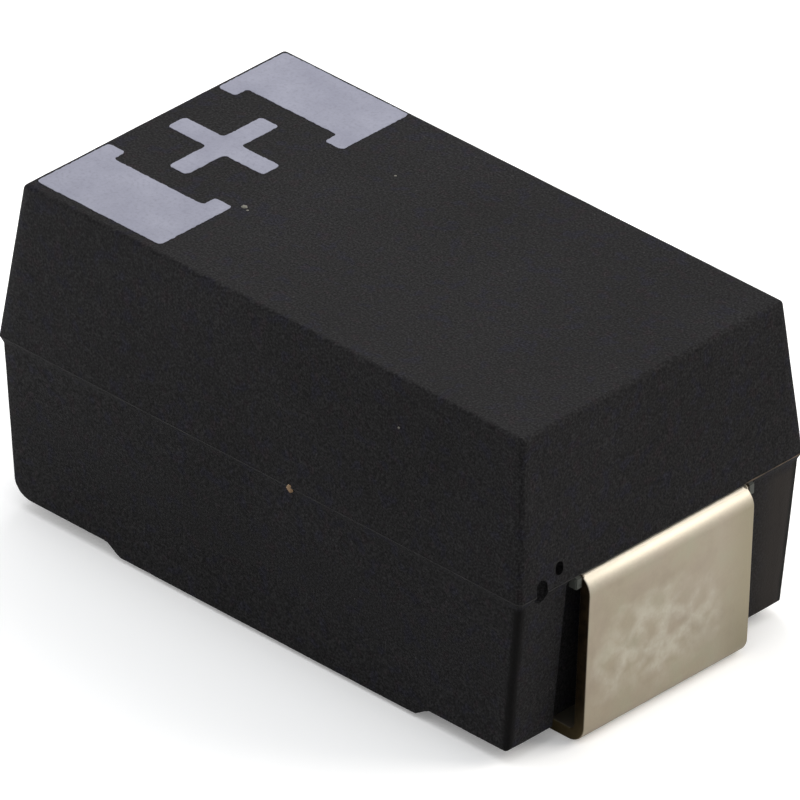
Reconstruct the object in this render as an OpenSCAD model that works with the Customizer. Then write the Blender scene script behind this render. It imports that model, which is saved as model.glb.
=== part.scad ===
// Moulded tantalum chip capacitor, a surface-mount part in millimetres.
// +X points to the cathode end and +Z points up. The origin is on the solder plane,
// under the middle of the case. A sintered tantalum pellet sits inside a moulded case
// between two folded strip terminals: the cathode strip cradles the coated pellet, and
// the anode strip carries the weld of the wire that comes out of the pellet.

/* [Moulded case] */
// Length at the parting line
case_l = 7.27; // [6.8:0.01:8.4]
// Width at the parting line
case_w = 4.14; // [3.8:0.01:5.4]
// Height above the parting line
upper_h = 1.775; // [1.65:0.005:2.4]
// Height of the two ends below the parting line
lower_h = 1.83; // [1.7:0.005:2.4]
// Draft of the upper half's walls, in degrees
upper_draft = 5.5; // [1:0.5:7]
// Draft of the lower half's end walls, in degrees
lower_end_draft = 5; // [1:0.5:8]
// Draft of the lower half's long walls, in degrees
lower_side_draft = 1; // [0.5:0.5:3]
// Step in from the upper half to the lower half at the parting line
parting_step = 0.03; // [0.005:0.005:0.05]
// Height over which that step slopes in
parting_step_h = 0.08; // [0.03:0.01:0.15]
// Rounding of the upper half's edges and corners
upper_edge_r = 0.06; // [0.04:0.01:0.16]
// Rounding of the lower half's upright corners
lower_corner_r = 0.05; // [0.04:0.01:0.16]
// Rounding of the lower edge at the anode end
anode_edge_r = 0.26; // [0.05:0.01:0.35]
// Rounding of the lower edge at the cathode end
cathode_edge_r = 0.05; // [0.05:0.01:0.35]

/* [Foot pad under the case] */
// Gap between the foot pad and the solder plane
foot_clearance = 0.04; // [0.02:0.005:0.09]
// Gap between the foot pad and the anode's solder pad
foot_anode_gap = 0.34; // [0.05:0.01:0.8]
// Gap between the foot pad and the cathode's solder pad
foot_cathode_gap = 0.12; // [0.05:0.01:0.8]
// Length of the ramp at each end of the foot pad
foot_ramp = 0.18; // [0.05:0.01:0.4]
// Rounding of the foot pad's long edges
foot_edge_r = 0.02; // [0.01:0.01:0.08]

/* [Terminals] */
// Width of the strip
strip_w = 2.4; // [1.8:0.05:2.8]
// Thickness of the strip
strip_t = 0.14; // [0.1:0.01:0.16]
// Inside radius of every bend
bend_r = 0.07; // [0.04:0.01:0.12]
// How far the strip's outer face stands out from the case at the parting line
strip_stand_out = 0.135; // [0.12:0.005:0.3]
// Lean of the outer run towards the case, in degrees
strip_lean = 1.5; // [0:0.5:2.5]
// Length of the solder pad, from the strip's outer face
solder_pad_l = 1.3; // [0.8:0.05:1.6]
// Gap between a solder pad and the case above it
solder_pad_gap = 0.015; // [0.015:0.005:0.06]
// Depth of the case's pocket behind the strip
pocket_depth = 0.15; // [0.05:0.01:0.2]
// Gap on each side of the strip in its pocket
pocket_side_gap = 0.2; // [0.05:0.01:0.3]
// How far the trimmed tie-bar stubs reach past the strip's edges
stub_reach = 0.1; // [0.05:0.01:0.18]
// Length of the stubs in front of the case wall
stub_l = 0.04; // [0.03:0.01:0.1]
// Diameter of the holes that lock the strip in the moulding
lock_hole_d = 0.3; // [0.2:0.05:0.35]
// Distance between the two lock holes of a strip
lock_hole_pitch = 1.2; // [0.6:0.05:1.4]
// Depth of the lock holes' centres inside the case
lock_hole_inset = 0.3; // [0.27:0.01:0.32]

/* [Anode weld pad] */
// How far the weld pad is set down from the parting plane
weld_drop = 0.16; // [0.1:0.01:0.22]
// Slope of the step down to the weld pad, in degrees
weld_step_slope = 30; // [20:1:35]
// Length of the flat run between the case wall and that step
anode_flat_l = 0.57; // [0.52:0.01:0.6]
// Width of the weld pad
weld_pad_w = 1.3; // [0.8:0.05:1.8]
// Gap from the weld pad to the pellet
weld_pad_gap = 0.4; // [0.3:0.01:0.5]
// Depth of the groove that seats the wire
wire_seat = 0.04; // [0.01:0.01:0.06]

/* [Pellet and wire] */
// Width of the bare pellet
pellet_w = 2.9; // [2.2:0.05:3.2]
// Height of the bare pellet
pellet_h = 2.4; // [1.8:0.05:2.5]
// Rounding of the pellet's long edges
pellet_edge_r = 0.2; // [0.05:0.01:0.4]
// Distance from the case's cathode end to the coated pellet
cathode_room = 0.885; // [0.78:0.005:0.95]
// Distance from the case's anode end to the coated pellet
anode_room = 1.855; // [1.75:0.005:2.4]
// Diameter of the wire
wire_d = 0.4; // [0.25:0.01:0.5]
// Length of wire sintered into the pellet
wire_embed = 1.6; // [0.8:0.05:2.5]
// Length of wire that lies on the weld pad
wire_lap = 0.41; // [0.2:0.01:0.45]
// Outer diameter of the washer
washer_d = 1.1; // [0.8:0.05:1.4]
// Thickness of the washer
washer_t = 0.2; // [0.1:0.01:0.25]

/* [Coats and adhesive] */
// Thickness of the solid electrolyte
electrolyte_t = 0.04; // [0.02:0.005:0.06]
// Thickness of the carbon coat
carbon_t = 0.02; // [0.01:0.005:0.03]
// Thickness of the silver coat
silver_t = 0.03; // [0.015:0.005:0.04]
// How far the carbon coat stops short of the pellet's anode face
carbon_margin = 0.25; // [0.1:0.01:0.5]
// How far the silver coat stops short of the carbon coat's edge
silver_margin = 0.12; // [0.05:0.01:0.4]
// Thickness of the adhesive
adhesive_t = 0.05; // [0.03:0.005:0.08]
// Width of the adhesive
adhesive_w = 2; // [1:0.05:2.1]
// Length of the cathode cradle under the pellet
cradle_l = 2.5; // [1.2:0.05:3.2]
// How far the adhesive stops short of the cradle's end
adhesive_margin = 0.2; // [0.1:0.01:0.6]
// Height of the adhesive up the pellet's end
adhesive_h = 0.85; // [0.4:0.01:0.9]

/* [Polarity mark] */
// Depth of the mark in the top face
mark_t = 0.02; // [0.01:0.005:0.04]
// Distance from the flat top's anode end to the mark
mark_end_gap = 0.01; // [0.01:0.01:0.3]
// Distance from the flat top's long sides to the brackets
mark_side_gap = 0.045; // [0.045:0.005:0.3]
// Length of each bracket along the case
bracket_l = 1.74; // [1:0.02:2]
// Distance from the mark's middle to a bracket's inner side
bracket_inner = 0.96; // [0.85:0.01:1.2]
// Width of the lips at a bracket's ends
lip_w = 0.24; // [0.1:0.01:0.4]
// How far the lips reach towards the plus sign
lip_l = 0.17; // [0.05:0.01:0.2]
// Length of each arm of the plus sign, tip to tip
plus_l = 1.34; // [0.6:0.02:1.4]
// Width of the plus sign's arms
plus_w = 0.26; // [0.1:0.01:0.3]
// Rounding of the mark's corners
mark_corner_r = 0.04; // [0.01:0.01:0.045]
// Sideways shift of the whole mark on the top face
mark_shift = 0.04; // [0:0.01:0.04]

/* [Moulding voids in the cathode end] */
// Width of the larger void
void_w = 0.16; // [0.08:0.01:0.22]
// Height of the larger void
void_h = 0.26; // [0.23:0.01:0.4]
// Distance from the strip's edge to the larger void's middle
void_offset = 0.55; // [0.35:0.01:0.6]
// Height of the larger void's middle above the parting line
void_rise = 0.025; // [0:0.005:0.5]
// Width of the smaller void
small_void_w = 0.11; // [0.06:0.01:0.14]
// Height of the smaller void
small_void_h = 0.15; // [0.15:0.01:0.3]
// Distance from the strip's edge to the smaller void's middle
small_void_offset = 0.29; // [0.15:0.01:0.32]
// Height of the smaller void's middle above the parting line
small_void_rise = 0.19; // [0.16:0.01:0.5]
// Depth of both voids
void_depth = 0.06; // [0.03:0.005:0.08]

/* [Hidden] */
$fn = 64;

// Extra length that carries a cut clear of the face that it opens.
cut_over = 0.5;
// Upright band at the parting line, where the two mould halves close.
parting_land = 0.01;
// Facets of the spheres that round the moulded corners.
corner_fn = 32;

// Heights above the solder plane. The case ends stand on the solder pads' thickness.
underside_z = strip_t + solder_pad_gap;
parting_z = underside_z + lower_h;
top_z = parting_z + upper_h;

// The lower half reaches down to the foot pad's face.
foot_drop = underside_z - foot_clearance;
lower_total_h = lower_h + foot_drop;
lower_half_l = case_l / 2 - parting_step;
lower_half_w = case_w / 2 - parting_step;

// Terminal strip: centre-line radius of a bend, and where the outer bend starts.
bend_mid_r = bend_r + strip_t / 2;
strip_out_x = case_l / 2 + strip_stand_out;
outer_bend_x = strip_out_x - bend_r - strip_t;
outer_run = (parting_z - strip_t / 2 - 2 * bend_mid_r) / cos(strip_lean);
solder_pad_x = strip_out_x - solder_pad_l;
solder_run = outer_bend_x - outer_run * sin(strip_lean) - solder_pad_x;

// The wire lies in a groove on the weld pad, and the pellet is centred on the wire.
weld_pad_z = parting_z - weld_drop;
wire_z = weld_pad_z + strip_t / 2 + wire_d / 2 - wire_seat;
coat_t = electrolyte_t + carbon_t + silver_t;
coated_end_x = case_l / 2 - cathode_room;
pellet_end_x = coated_end_x - coat_t;
coated_face_x = anode_room - case_l / 2;
pellet_face_x = coated_face_x + electrolyte_t;
weld_pad_end_x = coated_face_x - weld_pad_gap;
wire_start_x = weld_pad_end_x - wire_lap;

// The step down to the weld pad: two equal bends with a sloping run between them.
step_run = (weld_drop - 2 * bend_mid_r * (1 - cos(weld_step_slope))) / sin(weld_step_slope);
step_l = 2 * bend_mid_r * sin(weld_step_slope) + step_run * cos(weld_step_slope);
step_start = case_l / 2 - anode_flat_l;
weld_run = step_start - step_l + weld_pad_end_x;

// The cradle: an upright run behind the pellet's end and a paddle under the pellet.
cradle_x = coated_end_x + adhesive_t + strip_t / 2;
cradle_z = wire_z - pellet_h / 2 - coat_t - adhesive_t - strip_t / 2;
cathode_flat_l = outer_bend_x - cradle_x - bend_mid_r;
cradle_drop = parting_z - cradle_z - 2 * bend_mid_r;

// Half the length and width of the flat part of the top face, and the mark's place on it.
top_inset = (upper_h - upper_edge_r) * tan(upper_draft) + upper_edge_r / cos(upper_draft);
flat_half_l = case_l / 2 - top_inset;
flat_half_w = case_w / 2 - top_inset;
mark_mid_x = mark_end_gap - flat_half_l + max(bracket_l, plus_l) / 2;
bracket_outer = flat_half_w - mark_side_gap;

// ---- The moulded case ----

// One mould half on the parting plane, growing towards +Z, with drafted walls and round edges.
module mould_half(half_l, half_w, height, end_draft, side_draft, corner_r, edge_r) {
    corner_h = height - edge_r;
    corner_x = half_l - corner_h * tan(end_draft) - edge_r / cos(end_draft);
    corner_y = half_w - corner_h * tan(side_draft) - edge_r / cos(side_draft);
    hull() {
        for (x = [-1, 1], y = [-1, 1]) {
            translate([x * (half_l - corner_r), y * (half_w - corner_r), 0])
                cylinder(h = parting_land, r = corner_r, $fn = corner_fn);
            translate([x * corner_x, y * corner_y, corner_h])
                sphere(r = edge_r, $fn = corner_fn);
        }
        translate([-corner_x, -corner_y, height - parting_land])
            cube([2 * corner_x, 2 * corner_y, parting_land]);
    }
}

// Cut below one end of the lower half: clears the ground beside the foot pad, up its ramp,
// and rounds the end's lower edge. Drawn for the +X end, in the X-Z plane below the parting.
module end_clearance(foot_end_x, edge_r) {
    round_x = lower_half_l - (lower_h - edge_r) * tan(lower_end_draft)
        - edge_r / cos(lower_end_draft);
    round_z = -lower_h + edge_r;
    tangent_z = round_z - edge_r * sin(lower_end_draft);
    ramp_slope = foot_ramp / foot_drop;
    difference() {
        polygon([
            [foot_end_x - ramp_slope * (foot_drop + cut_over), -lower_total_h - cut_over],
            [foot_end_x, -lower_h],
            [round_x, -lower_h],
            [round_x, tangent_z],
            [lower_half_l + cut_over, tangent_z],
            [lower_half_l + cut_over, -lower_total_h - cut_over]
        ]);
        translate([round_x, round_z])
            circle(r = edge_r);
    }
}

// The pocket behind a terminal, parallel to the end wall. Drawn in the X-Z plane.
module pocket_profile() {
    floor_x = lower_half_l - pocket_depth;
    reach = lower_total_h + cut_over;
    polygon([
        [floor_x, 0],
        [lower_half_l + cut_over, 0],
        [lower_half_l + cut_over, -reach],
        [floor_x - reach * tan(lower_end_draft), -reach]
    ]);
}

// Stands a profile drawn in the X-Z plane up and gives it a width along Y.
module across(width) {
    translate([0, width / 2, 0])
        rotate([90, 0, 0])
            linear_extrude(width)
                children();
}

// The sloping ledge below the parting line, from the upper half's outline in to the lower's.
module parting_ledge() {
    for (x = [-1, 1], y = [-1, 1]) {
        translate([x * (case_l / 2 - upper_edge_r), y * (case_w / 2 - upper_edge_r), -parting_land])
            cylinder(h = parting_land, r = upper_edge_r, $fn = corner_fn);
        translate([x * (lower_half_l - parting_step_h * tan(lower_end_draft) - lower_corner_r),
                   y * (lower_half_w - lower_corner_r), -parting_step_h])
            cylinder(h = parting_land, r = lower_corner_r, $fn = corner_fn);
    }
}

module lower_half() {
    difference() {
        union() {
            mirror([0, 0, 1])
                mould_half(lower_half_l, lower_half_w, lower_total_h, lower_end_draft,
                           lower_side_draft, lower_corner_r, foot_edge_r);
            hull()
                parting_ledge();
        }
        across(case_w + cut_over)
            end_clearance(solder_pad_x - foot_cathode_gap, cathode_edge_r);
        mirror([1, 0, 0])
            across(case_w + cut_over)
                end_clearance(solder_pad_x - foot_anode_gap, anode_edge_r);
        for (end = [0, 1])
            mirror([end, 0, 0])
                across(strip_w + 2 * pocket_side_gap)
                    pocket_profile();
    }
}

// An upright hollow in the cathode end wall, with its middle `rise` above the parting line.
module moulding_void(offset, rise, width, height) {
    ball_r = (width * width / 4 + void_depth * void_depth) / (2 * void_depth);
    length = height - width;
    wall_x = case_l / 2 - abs(rise) * tan(upper_draft);
    translate([wall_x + ball_r - void_depth, -strip_w / 2 - offset, rise]) {
        cylinder(h = length, r = ball_r, center = true);
        for (end = [-1, 1])
            translate([0, 0, end * length / 2])
                sphere(r = ball_r);
    }
}

module case_form() {
    translate([0, 0, parting_z])
        difference() {
            union() {
                mould_half(case_l / 2, case_w / 2, upper_h, upper_draft, upper_draft,
                           upper_edge_r, upper_edge_r);
                lower_half();
            }
            moulding_void(void_offset, void_rise, void_w, void_h);
            moulding_void(small_void_offset, small_void_rise, small_void_w, small_void_h);
        }
}

module epoxy_case() {
    color("#27282c")
        difference() {
            case_form();
            mark_form();
            anode_strip();
            cathode_strip();
            wire_form();
            washer_form();
            electrolyte_form();
            carbon_form();
            silver_form();
            adhesive_form();
        }
}

// ---- Polarity mark ----

// A rectangle with softly rounded corners, from the origin.
module soft_square(length, width) {
    r = mark_corner_r;
    translate([r, 0])
        square([length - 2 * r, width]);
    translate([0, r])
        square([length, width - 2 * r]);
    for (x = [r, length - r], y = [r, width - r])
        translate([x, y])
            circle(r = r);
}

// One bracket on the +Y side of the plus sign, with a lip at each of its ends.
module bracket() {
    depth = bracket_outer - bracket_inner;
    translate([-bracket_l / 2, bracket_inner])
        soft_square(bracket_l, depth);
    for (x = [-bracket_l / 2, bracket_l / 2 - lip_w])
        translate([x, bracket_inner - lip_l])
            soft_square(lip_w, depth);
}

module mark_form() {
    translate([mark_mid_x, mark_shift, top_z - mark_t])
        linear_extrude(mark_t) {
            bracket();
            mirror([0, 1])
                bracket();
            translate([-plus_l / 2, -plus_w / 2])
                soft_square(plus_l, plus_w);
            translate([-plus_w / 2, -plus_l / 2])
                soft_square(plus_w, plus_l);
        }
}

module polarity_mark() {
    color("#a8a8bc")
        mark_form();
}

// ---- Terminal strips ----

// A formed strip that starts at the origin and runs along +X, on its own centre plane.
// Each step is [straight length, bend in degrees], and a positive bend turns towards +Z.
module strip(steps, width, i = 0) {
    run = steps[i][0];
    turn = steps[i][1];
    if (run > 0)
        translate([0, -width / 2, -strip_t / 2])
            cube([run, width, strip_t]);
    if (turn != 0)
        translate([run, 0, 0]) {
            mirror([0, 0, turn < 0 ? 1 : 0])
                translate([0, 0, bend_mid_r])
                    rotate([90, 0, 0])
                        rotate([0, 0, -90])
                            rotate_extrude(angle = abs(turn))
                                translate([bend_r, -width / 2])
                                    square([strip_t, width]);
            translate([bend_mid_r * sin(abs(turn)), 0,
                       sign(turn) * bend_mid_r * (1 - cos(turn))])
                rotate([0, -turn, 0])
                    strip(steps, width, i + 1);
        }
}

// The part of a terminal that both ends share: out of the case, down and under it, with
// the stubs that are left where the lead frame's tie bars were trimmed.
module outer_strip() {
    stub_w = strip_w + 2 * stub_reach;
    translate([outer_bend_x, 0, parting_z])
        strip([[0, -90 - strip_lean], [outer_run, -90 + strip_lean], [solder_run, 0]], strip_w);
    translate([outer_bend_x, -stub_w / 2, parting_z - strip_t / 2])
        cube([case_l / 2 + stub_l - outer_bend_x, stub_w, strip_t]);
}

// Two holes that the moulding resin flows through, in the flat run just inside the case.
module lock_holes() {
    for (side = [-1, 1])
        translate([case_l / 2 - lock_hole_inset, side * lock_hole_pitch / 2, parting_z - strip_t])
            cylinder(h = 2 * strip_t, d = lock_hole_d);
}

// The cathode strip goes on inside the case as a cradle behind and under the pellet.
module cathode_strip() {
    outer_strip();
    difference() {
        translate([outer_bend_x, 0, parting_z])
            mirror([1, 0, 0])
                strip([[cathode_flat_l, -90], [cradle_drop, 90], [cradle_l, 0]], strip_w);
        lock_holes();
    }
}

// The anode strip steps down inside the case to a narrow weld pad with a groove for the wire.
module anode_strip() {
    difference() {
        mirror([1, 0, 0]) {
            outer_strip();
            difference() {
                translate([step_start, -strip_w / 2, parting_z - strip_t / 2])
                    cube([outer_bend_x - step_start, strip_w, strip_t]);
                lock_holes();
            }
            translate([step_start, 0, parting_z])
                mirror([1, 0, 0])
                    strip([[0, -weld_step_slope], [step_run, weld_step_slope], [weld_run, 0]],
                          weld_pad_w);
        }
        wire_form();
    }
}

module cathode_terminal() {
    color("#b7ab9b")
        cathode_strip();
}

module anode_terminal() {
    color("#b7ab9b")
        anode_strip();
}

// ---- Pellet, wire and washer ----

// A block along X with rounded long edges, centred on the wire.
module pellet_block(start_x, end_x, grow) {
    width = pellet_w + 2 * grow;
    height = pellet_h + 2 * grow;
    edge_r = pellet_edge_r + grow;
    translate([start_x, 0, wire_z])
        rotate([90, 0, 90])
            linear_extrude(end_x - start_x) {
                square([width - 2 * edge_r, height], center = true);
                square([width, height - 2 * edge_r], center = true);
                for (x = [-1, 1], y = [-1, 1])
                    translate([x * (width / 2 - edge_r), y * (height / 2 - edge_r)])
                        circle(r = edge_r);
            }
}

// A cylinder along the wire's axis.
module on_wire_axis(start_x, end_x, radius) {
    translate([start_x, 0, wire_z])
        rotate([0, 90, 0])
            cylinder(h = end_x - start_x, r = radius);
}

module wire_form() {
    on_wire_axis(wire_start_x, pellet_face_x + wire_embed, wire_d / 2);
}

module washer_form() {
    on_wire_axis(pellet_face_x - washer_t, pellet_face_x, washer_d / 2);
}

module anode_wire() {
    color("#8f939b")
        wire_form();
}

module insulating_washer() {
    color("#f2f2ee")
        difference() {
            washer_form();
            wire_form();
        }
}

module tantalum_pellet() {
    color("#5b5c63")
        difference() {
            pellet_block(pellet_face_x, pellet_end_x, 0);
            wire_form();
        }
}

// ---- Coats and adhesive ----

module electrolyte_form() {
    pellet_block(coated_face_x, pellet_end_x + electrolyte_t, electrolyte_t);
}

module carbon_form() {
    pellet_block(pellet_face_x + carbon_margin, pellet_end_x + electrolyte_t + carbon_t,
                 electrolyte_t + carbon_t);
}

module silver_form() {
    pellet_block(pellet_face_x + carbon_margin + silver_margin, coated_end_x, coat_t);
}

// The adhesive fills the space between the silver coat and the cradle.
module adhesive_form() {
    paddle_top = cradle_z + strip_t / 2;
    start_x = cradle_x - bend_mid_r - cradle_l + adhesive_margin;
    difference() {
        translate([start_x, -adhesive_w / 2, paddle_top])
            cube([coated_end_x + adhesive_t - start_x, adhesive_w, adhesive_h]);
        silver_form();
        cathode_strip();
    }
}

module electrolyte_coat() {
    color("#3a3836")
        difference() {
            electrolyte_form();
            pellet_block(pellet_face_x, pellet_end_x, 0);
            washer_form();
        }
}

module carbon_coat() {
    color("#232323")
        difference() {
            carbon_form();
            electrolyte_form();
        }
}

module silver_coat() {
    color("#c4c6c9")
        difference() {
            silver_form();
            carbon_form();
        }
}

module silver_adhesive() {
    color("#a9abae")
        adhesive_form();
}

epoxy_case();
polarity_mark();
anode_terminal();
cathode_terminal();
anode_wire();
insulating_washer();
tantalum_pellet();
electrolyte_coat();
carbon_coat();
silver_coat();
silver_adhesive();
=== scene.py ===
from math import cos, pi, radians, sin, sqrt, tan

import bmesh
import bpy
from mathutils import Matrix, Vector, noise


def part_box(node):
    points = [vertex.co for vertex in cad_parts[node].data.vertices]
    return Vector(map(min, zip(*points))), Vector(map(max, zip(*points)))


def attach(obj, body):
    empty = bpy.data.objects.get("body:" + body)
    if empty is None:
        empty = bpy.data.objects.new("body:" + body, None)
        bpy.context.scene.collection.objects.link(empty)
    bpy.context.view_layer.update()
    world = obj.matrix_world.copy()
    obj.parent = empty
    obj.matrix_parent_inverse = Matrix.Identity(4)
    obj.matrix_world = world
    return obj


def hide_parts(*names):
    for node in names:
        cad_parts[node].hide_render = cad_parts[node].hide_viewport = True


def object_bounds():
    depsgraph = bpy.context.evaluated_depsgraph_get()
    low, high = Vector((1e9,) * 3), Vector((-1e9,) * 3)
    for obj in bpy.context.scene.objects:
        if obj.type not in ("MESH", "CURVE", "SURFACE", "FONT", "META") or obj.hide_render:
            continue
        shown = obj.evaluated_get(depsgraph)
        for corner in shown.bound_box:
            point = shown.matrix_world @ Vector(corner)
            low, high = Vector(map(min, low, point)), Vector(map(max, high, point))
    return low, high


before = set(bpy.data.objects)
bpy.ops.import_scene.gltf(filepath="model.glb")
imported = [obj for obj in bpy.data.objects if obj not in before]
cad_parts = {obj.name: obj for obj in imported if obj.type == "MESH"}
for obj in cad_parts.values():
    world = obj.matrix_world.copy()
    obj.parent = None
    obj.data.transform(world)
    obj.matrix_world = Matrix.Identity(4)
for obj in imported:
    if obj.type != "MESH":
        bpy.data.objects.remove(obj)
cad_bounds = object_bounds()

MM = 0.001
MERGE_WITHIN = 1e-8

# ---- Sizes and places, in metres, from the CAD frame's own pieces ----

case_low, case_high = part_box("epoxy_case")
mark_low, mark_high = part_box("polarity_mark")
strip_low, strip_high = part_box("cathode_terminal")
anode_inner_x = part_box("anode_terminal")[1][0]
wire_low, wire_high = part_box("anode_wire")
adhesive_low, adhesive_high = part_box("silver_adhesive")

# Moulded case.
CASE_L = 7.27 * MM
CASE_W = case_high[1] - case_low[1]
TOP_Z = case_high[2]
FOOT_Z = case_low[2]
UPPER_H = 1.775 * MM
PARTING_Z = TOP_Z - UPPER_H
LOWER_H = 1.83 * MM
UNDERSIDE_Z = PARTING_Z - LOWER_H
UPPER_DRAFT = radians(5.5)
END_DRAFT = radians(5)
SIDE_DRAFT = radians(1)
LEDGE_STEP = 0.03 * MM
LEDGE_H = 0.08 * MM
UPPER_EDGE_R = 0.06 * MM
LOWER_CORNER_R = 0.05 * MM
ANODE_EDGE_R = 0.26 * MM
CATHODE_EDGE_R = 0.05 * MM
FOOT_EDGE_R = 0.02 * MM
FOOT_RAMP = 0.18 * MM
FOOT_CATHODE_X = 2.35 * MM
FOOT_ANODE_X = -2.13 * MM
POCKET_DEPTH = 0.15 * MM
POCKET_HALF_W = 1.35 * MM
POCKET_LIP = 0.022 * MM
SHOULDER_H = UPPER_H - UPPER_EDGE_R
TOP_INSET = SHOULDER_H * tan(UPPER_DRAFT) + UPPER_EDGE_R / cos(UPPER_DRAFT)
TOP_HALF_L = CASE_L / 2 - TOP_INSET
TOP_HALF_W = CASE_W / 2 - TOP_INSET

# Terminal strips.
STRIP_T = 0.14 * MM
STRIP_W = 2.4 * MM
STRIP_OUT_X = strip_high[0]
STRIP_Z = PARTING_Z - STRIP_T / 2
STRIP_EDGE_R = 0.016 * MM
BEND_R = 0.07 * MM
BEND_MID_R = BEND_R + STRIP_T / 2
BEND_X = STRIP_OUT_X - BEND_R - STRIP_T
STRIP_LEAN = radians(1.5)
SOLDER_PAD_L = 1.3 * MM
STUB_W = strip_high[1] - strip_low[1]
STUB_REACH_X = CASE_L / 2 + 0.04 * MM
STUB_ROOT = 0.03 * MM
STUB_EDGE = 0.012 * MM
STUB_THINNER = 0.004 * MM
CRADLE_L = 2.5 * MM
LOCK_HOLE_D = 0.3 * MM
LOCK_HOLE_Y = 0.6 * MM
LOCK_HOLE_X = CASE_L / 2 - 0.3 * MM
WELD_PAD_W = 1.3 * MM
WELD_DROP = 0.16 * MM
WELD_STEP_SLOPE = radians(30)
WELD_OVERLAP = 0.05 * MM
ANODE_FLAT_L = 0.57 * MM
WIRE_Z = (wire_low[2] + wire_high[2]) / 2
WIRE_R = (wire_high[2] - wire_low[2]) / 2

# Polarity mark.
MARK_LIP_W = 0.24 * MM
MARK_LIP_L = 0.18 * MM
MARK_INNER = 0.97 * MM
MARK_SUNK = 0.004 * MM
MARK_T = 0.009 * MM
PLUS_L = 1.34 * MM
PLUS_W = 0.25 * MM
PLUS_OFFSET = (-0.02 * MM, 0.03 * MM)

# What the mould left on the case: flash, a nib, crumbs and voids.
FLASH_REACH = 0.010 * MM
NIB_PLACE = (0.465 * MM, -CASE_W / 2 + 0.004 * MM, PARTING_Z - 0.02 * MM)
NIB_R = 0.042 * MM
CRUMB_SUNK = 0.002 * MM
BIG_CRUMB_R = 0.032 * MM
CRUMB_R = 0.014 * MM
SIDE_CRUMB_Z = 3.229 * MM
VOID_DEPTH = 0.12 * MM
VOID_RAGGED = 0.012 * MM

# Studio.
AMBIENT = 0.60
FLOOR_HALF = 0.4
FLOOR_BOUNCE = 0.60
FLOOR_GLOW = 0.16
WARM = (1.0, 0.955, 0.89)
COOL = (0.95, 0.975, 1.0)
NEUTRAL = (1.0, 1.0, 1.0)
CAMERA_AZIMUTH, CAMERA_ELEVATION, CAMERA_ROLL = 43.173, 31.66, 1.0497
CAMERA_AIM = (0.10708, -0.09857, 1.98954)
CAMERA_DISTANCE = 199.93 * MM
CAMERA_LENS = 895.8


# ---- Node helpers ----

SOCKET_KINDS = {"Color": "NodeSocketColor", "Normal": "NodeSocketVector",
                "Geometry": "NodeSocketGeometry", "Material": "NodeSocketMaterial"}


def declare(tree, side, names):
    """Gives a node group its named inputs or outputs, which are numbers unless listed above."""
    for name in names:
        kind = SOCKET_KINDS.get(name, "NodeSocketFloat")
        tree.interface.new_socket(name, in_out=side, socket_type=kind)


def add(tree, kind, inputs=None, **settings):
    """Adds a node, sets its settings, and fills or links its inputs."""
    node = tree.nodes.new(kind)
    for key, value in settings.items():
        setattr(node, key, value)
    for key, value in (inputs or {}).items():
        socket = node.inputs[key]
        if isinstance(value, bpy.types.NodeSocket):
            tree.links.new(value, socket)
        else:
            socket.default_value = (*value, 1) if socket.type == "RGBA" else value
    return node


def maths(tree, operation, first, second=0.0, clamp=False):
    """One arithmetic node."""
    node = add(tree, "ShaderNodeMath", {0: first, 1: second}, operation=operation, use_clamp=clamp)
    return node.outputs[0]


def times(tree, first, second):
    return maths(tree, "MULTIPLY", first, second)


def plus(tree, first, second):
    return maths(tree, "ADD", first, second)


def minus(tree, first, second):
    return maths(tree, "SUBTRACT", first, second)


def ramp(tree, factor, stops):
    """A colour ramp through (position, grey or colour) stops."""
    node = add(tree, "ShaderNodeValToRGB", {"Fac": factor})
    elements = node.color_ramp.elements
    while len(elements) < len(stops):
        elements.new(0.5)
    for element, (position, value) in zip(elements, stops):
        element.position = position
        element.color = (value, value, value, 1) if isinstance(value, (int, float)) else (*value, 1)
    return node.outputs["Color"]


def span_ramp(tree, length, span, stops):
    """A ramp whose stops are shares of a span."""
    return ramp(tree, times(tree, length, 1 / span), stops)


def blend(tree, factor, first, second, mode="MIX"):
    """Mixes two colours."""
    node = add(tree, "ShaderNodeMix", data_type="RGBA", blend_type=mode,
               inputs={0: factor, 6: first, 7: second})
    return node.outputs[2]


def object_place(tree):
    return add(tree, "ShaderNodeTexCoord").outputs["Object"]


def split(tree, place):
    return add(tree, "ShaderNodeSeparateXYZ", {"Vector": place}).outputs


def stretch(tree, place, scale, location=(0.0, 0.0, 0.0)):
    mapping = {"Vector": place, "Location": location, "Scale": scale}
    return add(tree, "ShaderNodeMapping", mapping).outputs["Vector"]


def noise_field(tree, place, per_mm, detail=2.0, roughness=0.5):
    """Noise with a given number of cells per millimetre."""
    node = add(tree, "ShaderNodeTexNoise", {
        "Vector": place, "Scale": per_mm / MM, "Detail": detail, "Roughness": roughness})
    return node.outputs["Fac"]


def clouded(tree, place, per_mm, stops, detail=2.0, roughness=0.5):
    """A ramp over noise."""
    return ramp(tree, noise_field(tree, place, per_mm, detail, roughness), stops)


def cells(tree, place, per_mm, feature="F1"):
    """Distance in a field of Voronoi cells."""
    node = add(tree, "ShaderNodeTexVoronoi", {"Vector": place, "Scale": per_mm / MM}, feature=feature)
    return node.outputs["Distance"]


def bumped(tree, strength, height_mm, field, invert=False):
    node = add(tree, "ShaderNodeBump", {
        "Strength": strength, "Distance": height_mm * MM, "Height": field}, invert=invert)
    return node.outputs["Normal"]


def new_tree(name):
    """A material with an empty node tree; returns both, and the tree's Object coordinates."""
    material = bpy.data.materials.new(name)
    material.use_nodes = True
    material.node_tree.nodes.clear()
    return material, material.node_tree, object_place(material.node_tree)


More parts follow.
